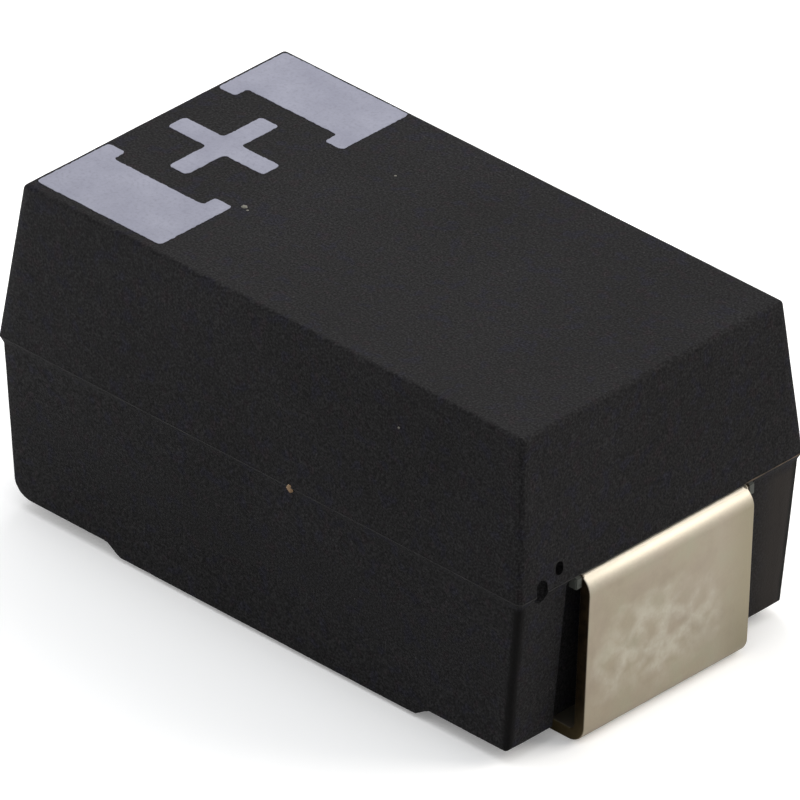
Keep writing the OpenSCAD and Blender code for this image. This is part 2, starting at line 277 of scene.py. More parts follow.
def finish(material, base, rough, normal=None, **sockets):
    """Closes a material with one Principled shader, whose constants sit on its own sockets."""
    tree = material.node_tree
    inputs = {"Base Color": base, "Roughness": rough}
    if normal is not None:
        inputs["Normal"] = normal
    inputs.update((key.replace("_", " "), value) for key, value in sockets.items())
    shader = add(tree, "ShaderNodeBsdfPrincipled", inputs)
    add(tree, "ShaderNodeOutputMaterial", {"Surface": shader.outputs["BSDF"]})
    return material


# ---- Shared effects ----

def build_grain_group():
    """Fine surface grain: varies a colour and a roughness and gives a bumped normal."""
    group = bpy.data.node_groups.new("surface_grain", "ShaderNodeTree")
    declare(group, "INPUT", ("Color", "Color Variation", "Roughness", "Roughness Variation",
                             "Grains per m", "Mottle per m", "Bump", "Bump Height"))
    declare(group, "OUTPUT", ("Color", "Roughness", "Normal"))
    entry = group.nodes.new("NodeGroupInput").outputs
    place = object_place(group)
    fine, mottle = [add(group, "ShaderNodeTexNoise", {
        "Vector": place, "Scale": entry[scale], "Detail": detail, "Roughness": rough}).outputs["Fac"]
        for scale, detail, rough in (("Grains per m", 4.0, 0.62), ("Mottle per m", 3.0, 0.55))]
    both = plus(group, times(group, fine, 0.6), times(group, mottle, 0.4))
    centred = minus(group, both, 0.5)
    factor = plus(group, 1.0, times(group, centred, entry["Color Variation"]))
    tinted = add(group, "ShaderNodeVectorMath", {0: entry["Color"], 1: factor}, operation="MULTIPLY")
    rough = maths(group, "ADD", entry["Roughness"],
                  times(group, centred, entry["Roughness Variation"]), clamp=True)
    bump = add(group, "ShaderNodeBump", {
        "Strength": entry["Bump"], "Distance": entry["Bump Height"], "Height": fine})
    add(group, "NodeGroupOutput", {
        "Color": tinted.outputs[0], "Roughness": rough, "Normal": bump.outputs["Normal"]})
    return group


GRAIN = build_grain_group()


def grain(tree, color, variation, rough, rough_variation, per_mm, mottle_per_mm, bump, height_mm):
    """Places the grain group with a material's own values; returns its three outputs."""
    outputs = add(tree, "ShaderNodeGroup", node_tree=GRAIN, inputs={
        "Color": color, "Color Variation": variation, "Roughness": rough,
        "Roughness Variation": rough_variation, "Grains per m": per_mm / MM,
        "Mottle per m": mottle_per_mm / MM, "Bump": bump, "Bump Height": height_mm * MM}).outputs
    return outputs["Color"], outputs["Roughness"], outputs["Normal"]


def finish_grained(material, tone, *values, **sockets):
    """Closes a material whose surface has the shared grain, with that grain's own values."""
    return finish(material, *grain(material.node_tree, tone, *values), **sockets)


# ---- Materials ----

def case_epoxy():
    """Filled black moulding resin: matt, with a salt-and-pepper grain, faint blue and reddish
    mottling, sparse specks, a paler patch of painted light on the cathode end beside the terminal,
    and a darker line of painted shade down the cathode end's lower corners."""
    material, tree, place = new_tree("case_epoxy")
    tone = clouded(tree, place, 0.55, detail=3.0, stops=[
        (0.3, (0.0124, 0.0121, 0.0123)), (0.7, (0.0152, 0.0149, 0.0156))])
    for per_mm, stops, tint in ((6.0, [(0.56, 0.0), (0.68, 0.5)], (0.0130, 0.0128, 0.0200)),
                                (7.5, [(0.60, 0.0), (0.70, 0.4)], (0.0180, 0.0130, 0.0150))):
        tone = blend(tree, clouded(tree, place, per_mm, stops, detail=1.0), tone, tint)
    salt = clouded(tree, place, 42, [(0.30, 0.45), (0.50, 1.0), (0.72, 2.0)], roughness=0.6)
    tone = blend(tree, 1.0, tone, salt, "MULTIPLY")
    speck = ramp(tree, cells(tree, place, 7.5), [(0.045, 1.0), (0.10, 0.0)])
    chance = clouded(tree, place, 2.2, [(0.60, 0.0), (0.66, 0.55)])
    tone = blend(tree, times(tree, speck, chance), tone, (0.065, 0.063, 0.062))
    axes = split(tree, place)
    # Painted light: a paler, warmer patch on the lower cathode end face, past the terminal's pocket
    # towards +Y.
    beside = span_ramp(tree, axes["Y"], CASE_W, [(0.33, 0.0), (0.42, 1.0)])
    at_end = span_ramp(tree, axes["X"], CASE_L, [(0.462, 0.0), (0.474, 1.0)])
    low = span_ramp(tree, axes["Z"], PARTING_Z, [(0.90, 1.0), (0.98, 0.0)])
    painted_light_patch = times(tree, times(tree, beside, at_end), low)
    tone = blend(tree, times(tree, painted_light_patch, 0.9), tone, (0.0285, 0.0250, 0.0228))
    # A darker line down the cathode end's lower corners: painted shade.
    tone = blend(tree, painted_corner_shade(tree, place), tone, (0.0040, 0.0039, 0.0038))
    return finish_grained(material, tone, 0.5, 0.56, 0.25, 38, 5, 0.5, 0.007, Specular_IOR_Level=0.03)


def painted_corner_shade(tree, place):
    """How much a point lies on the lower half's upright corners at the cathode end, where a darker
    line of painted shade goes.
    """
    width = 0.1 * MM
    axes = split(tree, place)
    depth = minus(tree, PARTING_Z - 0.02 * MM, axes["Z"])
    corner_x = minus(tree, CASE_L / 2 - LEDGE_STEP, times(tree, depth, tan(END_DRAFT)))
    corner_y = minus(tree, CASE_W / 2 - LEDGE_STEP, times(tree, depth, tan(SIDE_DRAFT)))
    from_x = minus(tree, corner_x, axes["X"])
    from_y = minus(tree, corner_y, maths(tree, "ABSOLUTE", axes["Y"]))
    away = plus(tree, maths(tree, "ABSOLUTE", from_x), maths(tree, "ABSOLUTE", from_y))
    waver = minus(tree, noise_field(tree, place, 4.0, detail=3.0), 0.5)
    away = plus(tree, away, times(tree, waver, width / 2))
    near = span_ramp(tree, away, width, [(0.55, 0.85), (0.95, 0.0)])
    return times(tree, near, span_ramp(tree, depth, width, [(0.0, 0.0), (0.9, 1.0)]))


def flash_resin():
    """The same resin squeezed thin at the parting line, with a paler tan painted highlight beside the
    cathode terminal.
    """
    material, tree, place = new_tree("flash_resin")
    axes = split(tree, place)
    beside = span_ramp(tree, axes["Y"], 2 * MM, [(0.58, 0.0), (0.64, 1.0)])
    at_end = span_ramp(tree, axes["X"], 4 * MM, [(0.895, 0.0), (0.9, 1.0)])
    patches = noise_field(tree, place, 2.6, detail=3.0)
    black = ramp(tree, patches, [(0.42, (0.0150, 0.0146, 0.0150)), (0.68, (0.024, 0.023, 0.023))])
    # A paler tan beside the cathode terminal: a painted highlight along the flash.
    painted_tan_highlight = ramp(tree, patches, [(0.3, (0.045, 0.036, 0.028)), (0.7, (0.115, 0.085, 0.062))])
    tone = blend(tree, times(tree, beside, at_end), black, painted_tan_highlight)
    return finish_grained(material, tone, 0.8, 0.6, 0.2, 40, 8, 0.3, 0.004, Specular_IOR_Level=0.12)


def resin_nib():
    """A tan nib of bare resin on the parting line."""
    return finish_grained(new_tree("resin_nib")[0], (0.20, 0.125, 0.065), 0.8, 0.55, 0.2, 60, 20,
                          0.3, 0.004, Specular_IOR_Level=0.3)


def mould_dust():
    """Pale crumbs of filler that stick to the moulded faces."""
    return finish_grained(new_tree("mould_dust")[0], (0.15, 0.145, 0.125), 0.6, 0.7, 0.2, 70, 20,
                          0.3, 0.004, Specular_IOR_Level=0.2)


def mark_print():
    """Pale lavender-grey mark, softly clouded, with a fine dark sprinkle where the resin
    shows through."""
    material, tree, place = new_tree("mark_print")
    tone = clouded(tree, place, 1.6, detail=4.0, roughness=0.6, stops=[
        (0.3, (0.208, 0.212, 0.265)), (0.7, (0.255, 0.260, 0.316))])
    sprinkle = clouded(tree, place, 26, [(0.30, 0.42), (0.50, 0.0)], roughness=0.6)
    tone = blend(tree, sprinkle, tone, (0.17, 0.17, 0.215))
    return finish_grained(material, tone, 0.35, 0.72, 0.2, 30, 6, 0.25, 0.003, Specular_IOR_Level=0.22)


def terminal_tin():
    """Matt tin plate: warm grey, with a soft pale net of flux marks on the outer run, a painted
    highlight across the top bend, painted shade towards the +Y edge, and sheared edges that
    show the dark alloy under the plate, darkened further with painted shade."""
    material, tree, place = new_tree("terminal_tin")
    axes = split(tree, place)
    plate = clouded(tree, place, 2.4, detail=4.0, roughness=0.6, stops=[
        (0.32, (0.290, 0.250, 0.190)), (0.5, (0.322, 0.282, 0.213)), (0.68, (0.314, 0.294, 0.219))])
    blush = clouded(tree, place, 1.1, [(0.45, 0.0), (0.65, 0.5)])
    plate = blend(tree, blush, plate, (0.325, 0.270, 0.220))
    plate = blend(tree, flux_net(tree, place, axes), plate, (0.43, 0.398, 0.330))
    # Darker and yellower towards the +Y edge: painted shade.
    far_side_shade = span_ramp(tree, axes["Y"], STRIP_W, [(0.30, 0.0), (0.46, 0.8)])
    plate = blend(tree, far_side_shade, plate, (0.262, 0.228, 0.152))
    # Paler across the top bend: a painted highlight.
    bend_highlight = span_ramp(tree, axes["Z"], PARTING_Z, [(0.90, 0.0), (0.97, 1.0)])
    plate = blend(tree, bend_highlight, plate, (0.410, 0.376, 0.316))

    edge_w = 0.01 * MM
    from_edge = minus(tree, maths(tree, "ABSOLUTE", axes["Y"]), STRIP_W / 2 - edge_w)
    past_edge = times(tree, from_edge, 1 / edge_w)
    sheared = ramp(tree, past_edge, [(0.1, 0.0), (0.9, 1.0)])
    # The sheared edges' near-black tone is the bare alloy under the plate and painted shade; it turns
    # lighter brown towards the bottom.
    bare_alloy_and_shade = clouded(tree, place, 9, detail=3.0, stops=[
        (0.4, (0.010, 0.007, 0.004)), (0.62, (0.024, 0.016, 0.008))])
    low = span_ramp(tree, axes["Z"], 0.5 * MM, [(0.2, 0.75), (1.0, 0.0)])
    bare_alloy_and_shade = blend(tree, low, bare_alloy_and_shade, (0.070, 0.052, 0.024))
    stub = ramp(tree, times(tree, past_edge, 0.1), [(0.25, 0.0), (0.45, 1.0)])
    bare_alloy_and_shade = blend(tree, stub, bare_alloy_and_shade, (0.085, 0.090, 0.082))
    tone = blend(tree, sheared, plate, bare_alloy_and_shade)
    color, rough, normal = grain(tree, tone, 0.30, 0.45, 0.3, 26, 3, 0.35, 0.003)
    rough = maths(tree, "ADD", rough, times(tree, sheared, 0.2), clamp=True)
    return finish(material, color, rough, normal, Metallic=1.0)


def flux_net(tree, place, axes):
    """Soft crossing lines, patchy, that fade out round the middle of the strip's outer run."""
    warp = add(tree, "ShaderNodeTexNoise", {"Vector": place, "Scale": 4.5 / MM, "Detail": 3.0})
    warped = add(tree, "ShaderNodeMix", data_type="VECTOR",
                 inputs={0: 0.16 * MM, 4: place, 5: warp.outputs["Color"]})
    edges = cells(tree, warped.outputs[1], 3.3, "DISTANCE_TO_EDGE")
    net = ramp(tree, edges, [(0.0, 1.0), (0.14, 0.75), (0.36, 0.0)])
    patchy = clouded(tree, place, 3.4, [(0.38, 0.3), (0.58, 1.0)], detail=4.0, roughness=0.65)
    squares = []
    for axis, centre, reach in (("Z", 0.84 * MM, 0.70 * MM), ("Y", -0.20 * MM, 1.20 * MM)):
        away = times(tree, minus(tree, axes[axis], centre), 1 / reach)
        squares.append(maths(tree, "POWER", away, 2.0))
    reach = maths(tree, "SQRT", plus(tree, *squares))
    uneven = plus(tree, reach, times(tree, noise_field(tree, place, 2.6, detail=3.0), 0.9))
    field = ramp(tree, times(tree, uneven, 0.5), [(0.45, 1.0), (0.68, 0.0)])
    return times(tree, times(tree, net, patchy), field)


def tantalum_wire():
    """Drawn wire with fine die lines along its length."""
    material, tree, place = new_tree("tantalum_wire")
    lines = noise_field(tree, stretch(tree, place, (0.06, 1.0, 1.0)), 30, detail=3.0)
    tone = ramp(tree, lines, [(0.3, (0.24, 0.25, 0.28)), (0.7, (0.36, 0.37, 0.40))])
    rough = ramp(tree, lines, [(0.3, 0.42), (0.7, 0.28)])
    return finish(material, tone, rough, bumped(tree, 0.4, 0.004, lines), Metallic=1.0)


def washer_resin():
    """Milky fluoropolymer washer with faint turning rings."""
    rings_per_mm, scatter = 18, 0.2 * MM
    material, tree, place = new_tree("washer_resin")
    centred = stretch(tree, place, (0.0, 1.0, 1.0), (0.0, 0.0, -WIRE_Z))
    radius = add(tree, "ShaderNodeVectorMath", {0: centred}, operation="LENGTH").outputs["Value"]
    rings = maths(tree, "SINE", times(tree, radius, 2 * pi * rings_per_mm / MM))
    tone = ramp(tree, rings, [(0.0, (0.74, 0.74, 0.71)), (1.0, (0.80, 0.80, 0.78))])
    return finish_grained(material, tone, 0.12, 0.5, 0.2, 20, 4, 0.25, 0.004,
                          Subsurface_Weight=0.15, Subsurface_Radius=(scatter, scatter, scatter))


def sintered_tantalum():
    """Pressed and sintered powder: dark grey, rough, with open pores whose sunken parts get painted
    shade.
    """
    material, tree, place = new_tree("sintered_tantalum")
    pores = cells(tree, place, 22)
    # Darker in the sunken pores between the grains: painted shade.
    tone = ramp(tree, pores, [(0.1, (0.15, 0.15, 0.165)), (0.7, (0.05, 0.05, 0.058))])
    rough = ramp(tree, pores, [(0.1, 0.62), (0.7, 0.85)])
    normal = bumped(tree, 0.8, 0.012, pores, invert=True)
    return finish(material, tone, rough, normal, Metallic=0.6)


def solid_electrolyte():
    """Dark brown-black electrolyte film with a dull, slightly cracked skin."""
    material, tree, place = new_tree("solid_electrolyte")
    cracks = cells(tree, place, 5, "DISTANCE_TO_EDGE")
    tone = ramp(tree, cracks, [(0.0, (0.010, 0.009, 0.008)), (0.06, (0.036, 0.030, 0.026))])
    return finish_grained(material, tone, 0.9, 0.66, 0.3, 24, 5, 0.5, 0.008)


def carbon_film():
    """Graphite coat, brushed on and faintly glossy where it is thick."""
    return finish_grained(new_tree("carbon_film")[0], (0.024, 0.024, 0.026), 1.2, 0.5, 0.5, 18, 2.5,
                          0.4, 0.006)


def silver_paint():
    """Silver flake paint with soft dip streaks."""
    material, tree, place = new_tree("silver_paint")
    tone = clouded(tree, stretch(tree, place, (0.2, 1.0, 1.0)), 5, detail=4.0, stops=[
        (0.3, (0.52, 0.53, 0.55)), (0.7, (0.66, 0.66, 0.67))])
    return finish_grained(material, tone, 0.35, 0.45, 0.3, 40, 5, 0.4, 0.005, Metallic=0.85)


def silver_glue():
    """Silver-filled adhesive, darker and lumpier than the paint."""
    return finish_grained(new_tree("silver_glue")[0], (0.40, 0.40, 0.41), 0.5, 0.52, 0.3, 15, 3,
                          0.6, 0.01, Metallic=0.6)


# ---- Mesh helpers ----

def link(name, data, material=None):
    """Puts data into the scene as an object, with its one material."""
    piece = bpy.data.objects.new(name, data)
    bpy.context.scene.collection.objects.link(piece)
    if material:
        data.materials.append(material)
    return piece


def mesh_from(name, points, faces):
    mesh = bpy.data.meshes.new(name)
    mesh.from_pydata([tuple(point) for point in points], [], faces)
    mesh.validate()
    return mesh


def piece_from(name, work, material=None):
    """Turns worked faces into an object and frees them."""
    mesh = bpy.data.meshes.new(name)
    work.to_mesh(mesh)
    work.free()
    return link(name, mesh, material)


def settle(piece):
    """Applies a piece's modifiers by turning the evaluated result into its plain mesh."""
    depsgraph = bpy.context.evaluated_depsgraph_get()
    mesh = bpy.data.meshes.new_from_object(piece.evaluated_get(depsgraph), depsgraph=depsgraph)
    mesh.name = piece.name
    if piece.type == "MESH":
        piece.modifiers.clear()
        piece.data = mesh
        return piece
    name = piece.name
    bpy.data.objects.remove(piece)
    return link(name, mesh)


def smooth(mesh, angle):
    """Smooth shading that breaks at edges sharper than the angle."""
    mesh.shade_smooth()
    mesh.set_sharp_from_angle(angle=radians(angle))


def tidy_normals(mesh):
    """Merges doubled points and turns every face outwards."""
    work = bmesh.new()
    work.from_mesh(mesh)
    bmesh.ops.remove_doubles(work, verts=work.verts, dist=MERGE_WITHIN)
    bmesh.ops.recalc_face_normals(work, faces=work.faces)
    work.to_mesh(mesh)
    work.free()


def cut(piece, tools, operation="DIFFERENCE"):
    """Cuts or joins a piece with each tool, which is then removed."""
    for tool in tools:
        modifier = piece.modifiers.new("cut", "BOOLEAN")
        modifier.operation = operation
        modifier.solver = "EXACT"
        modifier.object = tool
        settle(piece)
        bpy.data.objects.remove(tool)


def finish_piece(piece, material, angle):
    piece.data.materials.clear()
    piece.data.materials.append(material)
    smooth(piece.data, angle)
    return piece


def even_steps(start, end, step):
    """Evenly spaced places from start to end, about a step apart."""
    count = max(1, round(abs(end - start) / step))
    return [start + (end - start) * index / count for index in range(count + 1)]


def ragged(point, amount, per_mm, seed):
    """A smooth random shift with a fixed seed."""
    return amount * noise.noise(point * (per_mm / MM) + Vector((seed, seed * 0.37, 0)))


# ---- The moulded case ----

SKIN_STEP = 0.062 * MM
SKIN_MARGIN_L = 0.05 * MM
SKIN_MARGIN_W = 0.02 * MM
CORNER_STEPS = 6
EDGE_STEPS = 7
FOOT_EDGE_STEPS = 4
CAP_STRETCH_X = 2.5 * MM


def wall_inset(z):
    """How far the mould's end wall and long wall stand back from the parting outline at z."""
    if z >= PARTING_Z:
        inset = (z - PARTING_Z) * tan(UPPER_DRAFT)
        return inset, inset
    depth = PARTING_Z - z
    step = LEDGE_STEP * min(1.0, depth / LEDGE_H)
    return step + depth * tan(END_DRAFT), step + depth * tan(SIDE_DRAFT)


def round_centre(edge_r):
    """Where the rounding of an end's lower edge has its centre, along X."""
    end_inset = LEDGE_STEP + (LOWER_H - edge_r) * tan(END_DRAFT)
    return CASE_L / 2 - end_inset - edge_r / cos(END_DRAFT)


def underside(x):
    """Height of the case's lower surface at x: foot pad, ramps, and rounded end edges."""
    foot_end, edge_r = (FOOT_CATHODE_X, CATHODE_EDGE_R) if x > 0 else (FOOT_ANODE_X, ANODE_EDGE_R)
    outward = abs(x)
    past_round = outward - round_centre(edge_r)
    if past_round > 0:
        reach = min(past_round, edge_r * cos(END_DRAFT))
        return UNDERSIDE_Z + edge_r - sqrt(edge_r * edge_r - reach * reach)
    ramp_share = min(1.0, max(0.0, (outward - abs(foot_end) + FOOT_RAMP) / FOOT_RAMP))
    return FOOT_Z + (UNDERSIDE_Z - FOOT_Z) * ramp_share


def end_columns():
    """Places along an end wall from -Y to +Y, each with its depth in the terminal's pocket."""
    half, lip, deep = POCKET_HALF_W, POCKET_LIP, POCKET_DEPTH
    edge = [(half + lip, 0.0), (half + 0.35 * lip, 0.12 * lip), (half + 0.08 * lip, 0.5 * lip),
            (half, 1.5 * lip), (half - 0.05 * lip, 0.55 * deep), (half - 0.1 * lip, deep - 0.6 * lip),
            (half - 0.35 * lip, deep - 0.15 * lip), (half - lip, deep)]
    outer = [(place, 0.0) for place in
             even_steps(TOP_HALF_W - SKIN_MARGIN_W, half + 3 * lip, SKIN_STEP)]
    floor = [(place, deep) for place in even_steps(half - 3 * lip, -half + 3 * lip, SKIN_STEP)]
    far = [(-place, depth) for place, depth in reversed(outer + edge)]
    return [(-place, depth) for place, depth in outer + edge + floor + far]


def case_ring():
    """The skin's columns, once round from the -Y side's anode end, and each stretch's span of
    them. A column is (side, place, turn, depth, flank, way): on a long side or an end, its
    place along it, its share of a corner's turn, its depth in a pocket, and its signs in Y and X."""
    reach = TOP_HALF_L - SKIN_MARGIN_L
    long_side = [("long", place, 0.0, 0.0) for place in even_steps(-reach, reach, SKIN_STEP)]
    corner = [("corner", 0.0, (step + 0.5) / CORNER_STEPS, 0.0) for step in range(CORNER_STEPS)]
    wall = [("end", place, 0.0, depth) for place, depth in end_columns()]
    ring, spans = [], {}
    for name, columns, flank, way in (
            ("near side", long_side, -1, 1), ("near cathode corner", corner, -1, 1),
            ("cathode end", wall, 0, 1), ("far cathode corner", corner[::-1], 1, 1),
            ("far side", long_side[::-1], 1, 1), ("far anode corner", corner, 1, -1),
            ("anode end", wall[::-1], 0, -1), ("near anode corner", corner[::-1], -1, -1)):
        spans[name] = list(range(len(ring), len(ring) + len(columns)))
        ring += [(*column, flank, way) for column in columns]
    return ring, spans


def case_rows():
    """The rows of the skin from the lower edge to the top: (kind, value, inset). They crowd
    together at the edges and round the ledge at the parting line."""
    rows = []
    for step in range(FOOT_EDGE_STEPS + 1):
        angle = step / FOOT_EDGE_STEPS * pi / 2
        rows.append(("edge", FOOT_EDGE_R * (1 - cos(angle)), FOOT_EDGE_R * (1 - sin(angle))))
    shoulder = UPPER_H - UPPER_EDGE_R * (1 - sin(UPPER_DRAFT))
    wall = even_steps(0.06 * MM, shoulder - 0.04 * MM, SKIN_STEP)
    turn = (radians(87) - UPPER_DRAFT) / EDGE_STEPS
    for kind, values in (
            ("share", even_steps(0.055, 0.93, 0.034)),
            ("below", [below * MM for below in (0.085, 0.07, 0.045, 0.022, 0.008)]),
            ("above", [above * MM for above in (0.0, 0.008, 0.025)] + wall),
            ("round", [UPPER_DRAFT + turn * step for step in range(EDGE_STEPS + 1)])):
        rows += [(kind, value, 0.0) for value in values]
    return rows


def wall_point(column, row):
    """Where a column of the skin crosses a row."""
    side, place, turn, depth, flank, way = column
    kind, value, inset = row
    angle = turn * pi / 2
    if kind in ("edge", "share", "below"):
        towards_cathode = place > 0 if side == "long" else way > 0
        edge_r = CATHODE_EDGE_R if towards_cathode else ANODE_EDGE_R
        end_x = round_centre(edge_r) + edge_r * cos(END_DRAFT)
        plan_r = LOWER_CORNER_R
        over_x = {"long": place, "end": way * (end_x - depth),
                  "corner": way * (end_x - plan_r + plan_r * sin(angle))}[side]
        floor_z = underside(over_x)
        z = {"edge": floor_z + value, "share": floor_z + (PARTING_Z - floor_z) * value,
             "below": PARTING_Z - value}[kind]
        inset_l, inset_w = wall_inset(z)
        half_l = CASE_L / 2 - inset_l - depth
        half_w = CASE_W / 2 - inset_w - inset * (1 if side == "long" else cos(angle))
        if side == "corner" and floor_z > UNDERSIDE_Z and kind == "edge":
            half_l = min(half_l, end_x + value * tan(END_DRAFT))
    elif kind == "above":
        z = PARTING_Z + value
        inset_l, inset_w = wall_inset(z)
        half_l, half_w, plan_r = CASE_L / 2 - inset_l, CASE_W / 2 - inset_w, UPPER_EDGE_R
    else:
        z = PARTING_Z + SHOULDER_H + UPPER_EDGE_R * sin(value)
        plan_r = UPPER_EDGE_R * cos(value)
        half_l, half_w = TOP_HALF_L + plan_r, TOP_HALF_W + plan_r
    if side == "long":
        return Vector((place, flank * half_w, z))
    if side == "end":
        return Vector((way * half_l, place, z))
    return Vector((way * (half_l - plan_r + plan_r * sin(angle)),
                   flank * (half_w - plan_r + plan_r * cos(angle)), z))


def add_cap(points, faces, spans, base, upward):
    """Closes the ring that starts at point number base with a lattice across the case, whose
    lines run from the -Y side to the +Y side."""
    near = spans["near anode corner"] + spans["near side"] + spans["near cathode corner"]
    far = (spans["far cathode corner"] + spans["far side"] + spans["far anode corner"])[::-1]
    anode_end = [base + index for index in reversed(spans["anode end"])]
    cathode_end = [base + index for index in spans["cathode end"]]
    lattice = [anode_end]
    for near_index, far_index in zip(near, far):
        near_point = points[base + near_index]
        line = []
        for anode_index, cathode_index in zip(anode_end, cathode_end):
            x, z = near_point.x, near_point.z
            if not upward and abs(x) > CAP_STRETCH_X:
                # The underside's lines bend round the terminal's pocket.
                start = CAP_STRETCH_X if x > 0 else -CAP_STRETCH_X
                end, outer = (cathode_index, cathode_end[0]) if x > 0 else (anode_index, anode_end[0])
                x = start + (x - start) * (points[end].x - start) / (points[outer].x - start)
            if not upward:
                z = underside(x)
            line.append(len(points))
            points.append(Vector((x, points[cathode_index].y, z)))
        lattice.append([base + near_index] + line + [base + far_index])
    lattice[0] = [lattice[1][0]] + anode_end + [lattice[1][-1]]
    lattice.append([lattice[-1][0]] + cathode_end + [lattice[-1][-1]])
    for before, line in zip(lattice, lattice[1:]):
        for place in range(len(line) - 1):
            quad = [before[place], line[place], line[place + 1], before[place + 1]]
            faces.append(quad if upward else quad[::-1])


def build_case(material):
    """The skin is one closed lattice: a ring of columns for each row, and a lattice across the
    top and the underside whose stations are the same columns."""
    ring, spans = case_ring()
    rows = case_rows()
    points = [wall_point(column, row) for row in rows for column in ring]
    count = len(ring)
    faces = []
    for start in range(0, (len(rows) - 1) * count, count):
        for index in range(count):
            after = (index + 1) % count
            faces.append((start + index, start + after, start + count + after, start + count + index))
    add_cap(points, faces, spans, 0, upward=False)
    add_cap(points, faces, spans, (len(rows) - 1) * count, upward=True)
    faces = [[index for slot, index in enumerate(face) if index != face[slot - 1]] for face in faces]
    case = link("case", mesh_from("case", points, faces))
    tidy_normals(case.data)
    cut(case, build_voids())
    wear_edges(case.data)
    return finish_piece(case, material, 32)


def wear_edges(mesh):
    """Leaves the slight unevenness of moulded resin on the faces and edges."""
    normals = [Vector(vertex.normal) for vertex in mesh.vertices]
    for vertex, normal in zip(mesh.vertices, normals):
        place = vertex.co
        shift = ragged(place, 0.0022 * MM, 1.6, 3.1) + ragged(place, 0.0012 * MM, 6.0, 8.7)
        vertex.co = place + normal * shift


def build_voids():
    """Cutters for the two capsule-shaped moulding voids in the cathode end wall."""
    tools = []
    for width, height, offset, rise in ((0.16, 0.26, 0.55, 0.025), (0.11, 0.15, 0.29, 0.19)):
        ball_r = (width * width * MM * MM / 4 + VOID_DEPTH * VOID_DEPTH) / (2 * VOID_DEPTH)
        wall_x = CASE_L / 2 - rise * MM * tan(UPPER_DRAFT)
        centre = Vector((wall_x + ball_r - VOID_DEPTH, -STRIP_W / 2 - offset * MM,
                         PARTING_Z + rise * MM))
        work = bmesh.new()
        bmesh.ops.create_uvsphere(work, u_segments=28, v_segments=20, radius=ball_r)
        half_straight = (height - width) * MM / 2
        for vertex in work.verts:
            vertex.co.z += half_straight if vertex.co.z > 1e-9 else -half_straight
            bump = ragged(vertex.co, VOID_RAGGED, 9.0, offset)
            vertex.co += vertex.co.normalized() * bump + centre
        bmesh.ops.recalc_face_normals(work, faces=work.faces)
        tools.append(piece_from("void_tool", work))
    return tools


# ---- Geometry Nodes: swept strip, printed mark and parting flash ----

def shape_tree(name, sizes):
    """A geometry node tree with these sizes and a material; returns it and its inputs."""
    tree = bpy.data.node_groups.new(name, "GeometryNodeTree")
    declare(tree, "INPUT", ("Geometry", *sizes, "Material"))
    declare(tree, "OUTPUT", ("Geometry",))
    return tree, tree.nodes.new("NodeGroupInput").outputs


def shape(tree, kind, inputs=None, **settings):
    """Adds a geometry node and returns its first output."""
    return add(tree, "GeometryNode" + kind, inputs, **settings).outputs[0]


def fillet(tree, curve, count, radius, limit=True):
    """A curve with rounded corners."""
    return shape(tree, "FilletCurve", mode="POLY", inputs={
        "Curve": curve, "Count": count, "Radius": radius, "Limit Radius": limit})


def resampled(tree, curve, step):
    return shape(tree, "ResampleCurve", {"Curve": curve, "Length": step}, mode="LENGTH")


def vector(tree, operation, first, second):
    node = add(tree, "ShaderNodeVectorMath", {0: first, 1: second}, operation=operation)
    return node.outputs[0]


def xyz(tree, **parts):
    return add(tree, "ShaderNodeCombineXYZ", parts).outputs["Vector"]


def close_tree(tree, entry, geometry):
    real = shape(tree, "RealizeInstances", {"Geometry": geometry})
    finished = shape(tree, "SetMaterial", {"Geometry": real, "Material": entry["Material"]})
    add(tree, "NodeGroupOutput", {"Geometry": finished})
    return tree


def run_tree(piece, tree, values):
    """Gives a piece the tree with these input values and makes the result its plain mesh."""
    modifier = piece.modifiers.new(tree.name, "NODES")
    modifier.node_group = tree
    for item in tree.interface.items_tree:
        if item.item_type == "SOCKET" and item.in_out == "INPUT" and item.name in values:
            modifier[item.identifier] = values[item.name]
    return settle(piece)


def poly_curve(name, outlines, closed):
    """A curve object of straight-sided outlines."""
    curve = bpy.data.curves.new(name, "CURVE")
    curve.dimensions = "3D"
    for outline in outlines:
        spline = curve.splines.new("POLY")
        spline.points.add(len(outline) - 1)
        for point, place in zip(spline.points, outline):
            point.co = (*place, 1.0)
        spline.use_cyclic_u = closed
    return link(name, curve)


def build_strip_tree():
    """Sweeps a flat strip with softened edges along a path whose corners become bends."""
    tree, entry = shape_tree("folded_strip", ("Width", "Thickness", "Bend Radius", "Edge Radius"))
    bends = fillet(tree, entry["Geometry"], 10, entry["Bend Radius"])
    outline = shape(tree, "CurvePrimitiveQuadrilateral", {
        "Width": entry["Width"], "Height": entry["Thickness"]})
    soft = fillet(tree, outline, 3, entry["Edge Radius"], limit=False)
    upright = shape(tree, "SetCurveNormal", {"Curve": bends}, mode="MINIMUM_TWIST")
    sweep = shape(tree, "CurveToMesh", {"Curve": upright, "Profile Curve": soft, "Fill Caps": True})
    return close_tree(tree, entry, sweep)


